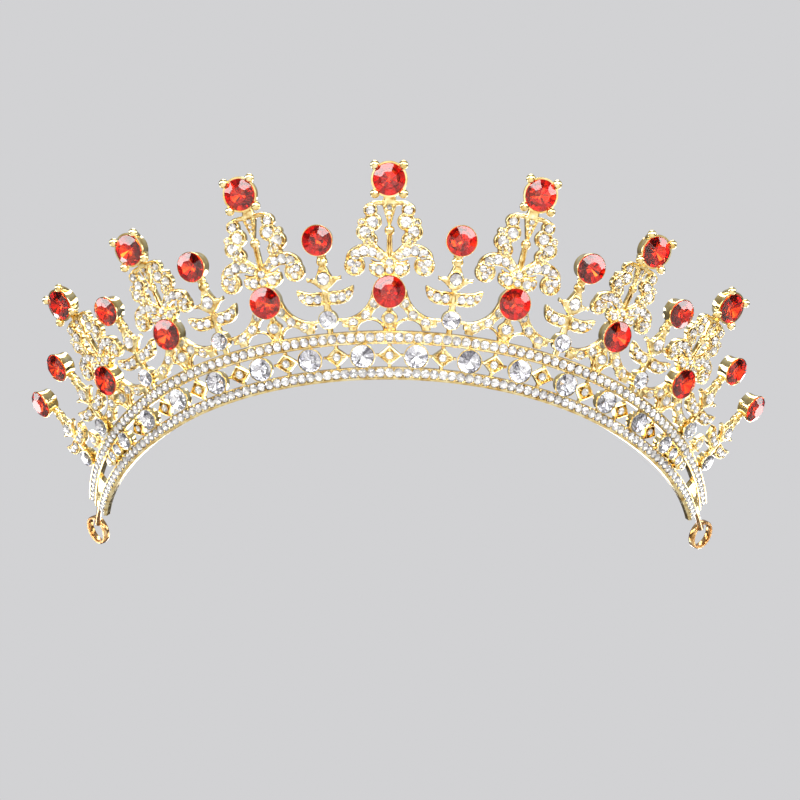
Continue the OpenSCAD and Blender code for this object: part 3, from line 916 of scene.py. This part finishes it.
# Shapes on a crest of the full height, in mm from its arch stone: across, up and radius
crest = {
    "lobes": [(4.4, 18.6, 1.65), (3.85, 15.9, 2.1), (6.4, 15.7, 1.0), (5.6, 13.6, 2.15), (4.5, 11.7, 1.8)],
    "lobeStone": 0.62,
    "petal": [(0.5, 6.9), (2.3, 8.3), (4.4, 9.2), (6.6, 9.1), (8.3, 7.9), (8.5, 6.3)],
    "petalWidths": [1.6, 2.4, 2.9, 3.1, 3.3, 3.4],
    "petalStones": [(2.2, 8.1, 0.85), (3.9, 9.0, 1.05), (5.9, 9.25, 1.15), (7.8, 8.4, 1.2)],
    "curl": (8.05, 5.75, 2.45),
    "curlStones": [(8.9, 6.4, 0.85), (7.3, 6.1, 0.75), (8.1, 4.85, 0.85)],
    "leaf": [(0.2, 4.6), (2.0, 4.6), (3.6, 5.1), (4.5, 6.2)],
    "leafWidths": [3.3, 3.4, 2.6, 0.4],
    "leafStones": [(2.3, 4.8, 1.1), (3.75, 5.3, 0.65)],
    "milling": 9,
    "triangle": [(1.8, 20.2), (0.3, 14.9)],
    "bead": (13.9, 1.2),
    "bar": [(0.7, 7.2), (0.62, 13.2)],
    "middleSeats": [(6.6, 1.15), (4.7, 1.1)],
    "middleStones": [(6.6, 0.82), (4.7, 0.8), (19.2, 0.62), (17.9, 0.45), (16.9, 0.32)],
    "voxel": 0.12,
}


def scaled(points, s):
    return [tuple(value * s for value in point) for point in points]


def crestHalf(s):
    # right half of a crest's casting, at this share of the full height
    shape = newShape()
    for x, y, r in crest["lobes"]:
        addSeat(shape, (x * s, y * s), r * s)
        addGrains(shape, (x * s, y * s), r * s * crest["lobeStone"], 5, x, 0.24)
    # bright rim from the column's top in under the stone, and the root of the column
    addStroke(shape, scaled([(5.2, 19.2), (3.7, 20.1), (1.2, 20.2)], s), [1.1, 1.1, 1.2], plainSection)
    addStroke(shape, scaled([(4.9, 11.4), (2.9, 9.6), (0.9, 8.0)], s), [2.0 * s, 1.5 * s, 1.3 * s],
              plainSection)
    addStroke(shape, scaled(crest["petal"], s), [w * s for w in crest["petalWidths"]])
    cx, cy, cr = crest["curl"]
    addSeat(shape, (cx * s, cy * s), cr * s)
    addStroke(shape, scaled(crest["leaf"], s), [w * s for w in crest["leafWidths"]])
    addStroke(shape, scaled([(1.5, 6.1), (3.2, 6.3), (4.3, 7.1)], s), [1.1 * s, 1.0 * s, 0.35], plainSection)
    for x, y, r in crest["petalStones"] + crest["curlStones"] + crest["leafStones"]:
        addGrains(shape, (x * s, y * s), r * s)
    # milled edge of grains round the outside of the petal's curl
    for i in range(crest["milling"]):
        angle = -0.5 * math.pi + i * 0.32
        addBead(shape, (cx + (cr - 0.25) * math.cos(angle)) * s, (cy + (cr - 0.25) * math.sin(angle)) * s,
                0.75, 0.26)
    return shape


def crestShape(s, up):
    shape = crestHalf(s)
    addMirrored(shape, shape)
    addTapered(shape, scaled(crest["triangle"], s), setSection)
    addTapered(shape, [(1.2, up - 3.2), (1.7 * s, 20.0 * s)], plainSection)  # collar under the stone
    beadUp, beadRadius = crest["bead"]
    addBall(shape, (0, beadUp * s, 0.15), beadRadius * s, 0.95, 20)
    addTapered(shape, scaled(crest["bar"], s), groovedSection)
    for x, y in ((0.9, 19.6), (0.65, 18.6), (0.5, 17.5)):
        for way in (-1, 1):
            addBead(shape, way * x * s, y * s, 0.75)
    for y, r in crest["middleSeats"]:
        addSeat(shape, (0, y * s), r * s)
    return shape


# Prong of a crest's collet, which ends in a ball over the stone's edge: out from the axis, height, radius
claws = {
    "count": 4,
    "path": [(2.9, -0.4, 0.55), (3.6, 0.5, 0.62), (4.15, 1.5, 0.66), (4.5, 2.4, 0.7)],
    "ball": (4.62, 2.7, 1.1),
    "lip": 0.6,
}


def clawProng():
    prong = newShape()
    path = claws["path"]
    rings = []
    for j, (x, z, r) in enumerate(path):
        ahead = Vector(path[min(j + 1, len(path) - 1)][:2]) - Vector(path[max(j - 1, 0)][:2])
        side = Vector((ahead.y, 0, -ahead.x)).normalized()
        rings.append([Vector((x, 0, z)) + side * r * math.cos(a) - Vector((0, r * math.sin(a), 0))
                      for a in roundTurns(12)])
    addRings(prong, rings)
    out, height, radius = claws["ball"]
    addBall(prong, (out, 0, height), radius, 0.92, 20)
    return prong


def addRedCup(cups, reds, matrix, radius, lip=ornament["lip"]):
    # a collet with its red stone, whose edge lies just under the lip
    cup = newShape()
    addCollet(cup, radius, ornament["colletDepth"], radius - ornament["stemInset"], lip)
    addCopy(cups, cup, matrix)
    stoneAt(reds, matrix, radius + ornament["stoneOverlap"], ornament["stoneBack"],
            ornament["colletDepth"] - ornament["stoneSunk"], "round")


def makeCrests():
    cast = {}
    stones, cups, reds = newShape(), newShape(), newShape()
    paired = [(x, y, r * crest["lobeStone"]) for x, y, r in crest["lobes"]]
    paired += crest["petalStones"] + crest["leafStones"] + crest["curlStones"]
    for k, word, along in crestPlaces():
        up = crestUp(k)
        s = up / ornament["crestHeight"]
        if s not in cast:
            cast[s] = fused(crestShape(s, up), crest["voxel"])
        m = onBand(along, archUp(along))
        addCasting("crest" + word, cast[s], m)
        for x, y, r in paired:
            for way in (-1, 1):
                paveAt(stones, m, way * x * s, y * s, r * s)
        for y, r in crest["middleStones"]:
            paveAt(stones, m, 0, y * s, r * s)
        top = m @ Matrix.Translation((0, up, 0))
        addRedCup(cups, reds, top, ornament["redRadius"], claws["lip"])
        for turn in roundTurns(claws["count"]):
            addCopy(cups, clawProng(), top @ Matrix.Rotation(math.pi / claws["count"] + turn, 4, "Z"))
    addStonePiece("crestPave", stones, paveStone)
    addPiece("crestCups", cups, [colletGold], sharpAngle=40)
    addStonePiece("crestStones", reds, redStone)


def makeArchStones():
    cups, reds = newShape(), newShape()
    for k, word, along in crestPlaces():
        addRedCup(cups, reds, onBand(along, archUp(along)), ornament["redRadius"])
    addPiece("archCups", cups, [colletGold], sharpAngle=40)
    addStonePiece("archStones", reds, redStone)


makeCrests()
makeArchStones()
print("crests made")

# Shapes on a spray, in mm from the stone at its foot: across, up and radius
spray = {
    "lower": [(0.3, 3.4), (1.6, 3.3), (3.4, 3.3), (4.9, 3.7), (6.0, 4.7), (6.7, 6.4), (6.75, 7.2)],
    "upper": [(0.3, 6.4), (1.6, 6.5), (3.0, 6.45), (4.2, 6.6), (5.2, 6.95), (6.1, 7.3), (6.6, 7.4)],
    "leafStones": [(1.9, 4.9, 1.0), (3.9, 5.0, 1.0), (5.55, 5.75, 0.7)],
    "pointLower": [(0.0, 6.9), (1.2, 7.2), (2.4, 8.3), (3.3, 8.9), (4.0, 8.9)],
    "pointUpper": [(0.0, 8.4), (1.2, 9.6), (2.4, 9.9), (3.3, 9.7), (4.1, 10.0)],
    "bud": (9.5, 1.95),
    "budStone": 1.45,
    "neckRing": (13.5, 1.35),
    "cupDepth": 1.5,
    "cupFlare": 0.22,
    "crystalOverlap": 0.2,
    "crystalSunk": 0.04,
    "voxel": 0.12,
}


def sprayShape():
    shape = newShape()
    addStrip(shape, smoothPath([(x, y, 0) for x, y in spray["lower"]], 5),
             smoothPath([(x, y, 0) for x, y in spray["upper"]], 5))
    for x, y, r in spray["leafStones"]:
        addGrains(shape, (x, y), r)
    # the bud's side point, cut square with a small step at its tip
    addStrip(shape, spray["pointLower"], spray["pointUpper"], plainSection)
    addMirrored(shape, shape)
    budUp, budRadius = spray["bud"]
    addSeat(shape, (0, budUp), budRadius)
    addGrains(shape, (0, budUp), spray["budStone"], 4, math.pi / 4)
    addStroke(shape, [(0, 6.4), (0, 7.6), (0, budUp), (0, 11.3), (0, 12.9)], [0.9, 2.2, 3.6, 2.6, 1.3])
    # stem below and above the bud, its neck ring and the knob under the stone's cup
    height = ornament["sprayHeight"]
    ringUp, ringRadius = spray["neckRing"]
    addStroke(shape, [(0, ornament["footRadius"] - 0.2), (0, 2.9), (0, 4.2), (0, 6.6)], [1.9, 1.6, 1.3, 1.2],
              plainSection)
    addStroke(shape, [(0, 12.5), (0, ringUp), (0, height - 3.0)], [1.2, 1.3, 2.2], plainSection)
    addBall(shape, (0, ringUp, 0), ringRadius, 0.9, 20)
    addBall(shape, (0, height - 3.7, 0), 1.15, 0.85, 20)
    return shape


def makeSprays():
    cast = fused(sprayShape(), spray["voxel"])
    stones, footCups, crystals, cups, reds = (newShape() for i in range(5))
    for side, word in ((-1, "Left"), (1, "Right")):
        for n, place in enumerate(ornament["sprayAt"]):
            along = side * place
            m = onBand(along, footUp(along))
            addCasting("spray" + word + str(n + 1), cast, m)
            for x, y, r in spray["leafStones"]:
                for way in (-1, 1):
                    paveAt(stones, m, way * x, y, r)
            paveAt(stones, m, 0, spray["bud"][0], spray["budStone"], ornament["middleGirdle"])
            cup = newShape()
            addCollet(cup, ornament["footRadius"], spray["cupDepth"],
                      ornament["footRadius"] + spray["cupFlare"])
            drop = footUp(along) - bandTop(along)
            if drop > footCupRadius + 0.05:
                addTapered(cup, [(0.7, -drop), (0.7, -1.6)], plainSection)  # stalk down to the rail
            addCopy(footCups, cup, m)
            stoneAt(crystals, m, ornament["footRadius"] + spray["crystalOverlap"], ornament["crystalBack"],
                    spray["cupDepth"] - spray["crystalSunk"], "round")
            addRedCup(cups, reds, m @ Matrix.Translation((0, ornament["sprayHeight"], 0)),
                      ornament["sprayRadius"])
    addStonePiece("sprayPave", stones, paveStone)
    addPiece("footCups", footCups, [colletGold], sharpAngle=40)
    addStonePiece("footCrystals", crystals, clearStone)
    addPiece("sprayCups", cups, [colletGold], sharpAngle=40)
    addStonePiece("sprayStones", reds, redStone)


makeSprays()
print("sprays made")

studio = {
    "floorDrop": 0.7,
    "floorSize": 30.0,
    "floorColour": "#c2bfba",
    "floorRoughness": 0.7,
    "backdrop": "#dcdcde",
    "room": [(0.0, "#5a554e"), (0.42, "#2e2b29"), (0.56, "#5c5b5e"), (1.0, "#c8cacf")],
    "roomStrength": 0.9,
    # soft boxes: place in metres, size across and up, power in watts
    "boxes": {
        "front": {"place": (0.0, -1.5, 0.36), "size": (1.1, 0.7), "power": 20},
        "frontLeft": {"place": (-1.25, -1.15, 0.2), "size": (0.7, 0.7), "power": 13},
        "frontRight": {"place": (1.25, -1.15, 0.2), "size": (0.7, 0.7), "power": 13},
        "sideLeft": {"place": (-1.55, -0.1, 0.45), "size": (0.9, 0.5), "power": 9},
        "sideRight": {"place": (1.55, -0.1, 0.45), "size": (0.9, 0.5), "power": 9},
        "top": {"place": (0.0, -0.1, 1.5), "size": (1.0, 0.6), "power": 12},
        "low": {"place": (0.3, -1.1, -0.3), "size": (0.9, 0.14), "power": 5.5},
        "rim": {"place": (0.3, 1.4, 0.5), "size": (0.8, 0.5), "power": 9},
        "backLeft": {"place": (-1.15, 1.1, -0.14), "size": (0.7, 0.5), "power": 6},
        "backRight": {"place": (1.15, 1.1, -0.14), "size": (0.7, 0.5), "power": 6},
    },
}


def aimAt(thing, target):
    thing.rotation_mode = "QUATERNION"
    thing.rotation_quaternion = (Vector(target) - thing.location).to_track_quat("-Z", "Y")


def makeLights():
    middle = (cadBounds[0] + cadBounds[1]) / 2
    for name, spec in studio["boxes"].items():
        lamp = bpy.data.lights.new(name + "Light", "AREA")
        lamp.shape = "RECTANGLE"
        lamp.size, lamp.size_y = spec["size"]
        lamp.energy = spec["power"]
        holder = bpy.data.objects.new(name + "Light", lamp)
        holder.location = spec["place"]
        aimAt(holder, middle)
        bpy.context.scene.collection.objects.link(holder)


def makeFloor():
    half = studio["floorSize"] / 2
    mesh = bpy.data.meshes.new("floor")
    z = -studio["floorDrop"]
    corners = [(-half, -half, z), (half, -half, z), (half, half, z), (-half, half, z)]
    mesh.from_pydata(corners, [], [(0, 1, 2, 3)])
    floor = bpy.data.objects.new("floor", mesh)
    bpy.context.scene.collection.objects.link(floor)
    material, tree = newMaterial("paintedStudioFloor")  # matt paint, even and without gloss
    shader = addNode(tree, "ShaderNodeBsdfPrincipled",
                     {"Base Color": hexColour(studio["floorColour"]), "Roughness": studio["floorRoughness"]})
    finishMaterial(tree, shader)
    mesh.materials.append(material)


def makeRoom():
    # the camera sees a plain pale sheet; what lights the metal is a softer, darker room
    world = bpy.data.worlds.new("studioRoom")
    world.use_nodes = True
    bpy.context.scene.world = world
    bpy.context.scene.view_settings.view_transform = "Standard"
    tree = world.node_tree
    tree.nodes.clear()
    direction = addNode(tree, "ShaderNodeTexCoord").outputs["Generated"]
    split = addNode(tree, "ShaderNodeSeparateXYZ", None, {"Vector": direction})
    height = addNode(tree, "ShaderNodeMapRange", {"From Min": -1.0, "From Max": 1.0},
                     {"Value": split.outputs["Z"]})
    room = addNode(tree, "ShaderNodeValToRGB", None, {"Fac": height.outputs["Result"]})
    setRamp(room, studio["room"])
    seen = addNode(tree, "ShaderNodeLightPath").outputs["Is Camera Ray"]
    mix = addNode(tree, "ShaderNodeMix", {"data_type": "RGBA"})
    tree.links.new(seen, mix.inputs["Factor"])
    tree.links.new(room.outputs["Color"], mix.inputs[6])
    mix.inputs[7].default_value = hexColour(studio["backdrop"])
    sheet = addNode(tree, "ShaderNodeBackground", {"Strength": studio["roomStrength"]},
                    {"Color": mix.outputs[2]})
    out = addNode(tree, "ShaderNodeOutputWorld")
    tree.links.new(sheet.outputs[0], out.inputs["Surface"])


# Angles in degrees, the distance in front radii of the band, the lens in mm
view = {
    "distance": 6.9732,
    "elevation": -32.62,
    "azimuth": 2.15,
    "roll": -1.48,
    "lens": 88.52,
    "sensor": 36,
    "shiftX": 0.0055,
    "shiftY": -0.0354,
    "aimAlong": -0.5,
    "aimUp": 0.35,
    "clip": (0.01, 50),
}


def makeCamera():
    radius = band["frontRadius"]
    target = Vector((0, band["toMiddle"] + view["aimAlong"] * radius, view["aimUp"] * radius + footLift)) * mm
    e, a, r = (math.radians(view[name]) for name in ("elevation", "azimuth", "roll"))
    back = Vector((math.sin(a) * math.cos(e), -math.cos(a) * math.cos(e), math.sin(e)))
    right = Vector((0, 0, 1)).cross(back).normalized()
    up = back.cross(right)
    turnedRight = right * math.cos(r) - up * math.sin(r)
    turnedUp = right * math.sin(r) + up * math.cos(r)
    data = bpy.data.cameras.new("camera")
    data.lens = view["lens"]
    data.sensor_width = view["sensor"]
    data.shift_x, data.shift_y = view["shiftX"], view["shiftY"]
    data.clip_start, data.clip_end = view["clip"]
    camera = bpy.data.objects.new("camera", data)
    basis = Matrix((turnedRight, turnedUp, back)).transposed().to_4x4()
    camera.matrix_world = Matrix.Translation(target + back * (view["distance"] * radius * mm)) @ basis
    bpy.context.scene.collection.objects.link(camera)
    bpy.context.scene.camera = camera


makeLights()
makeFloor()
makeRoom()
makeCamera()
print("studio and camera made")
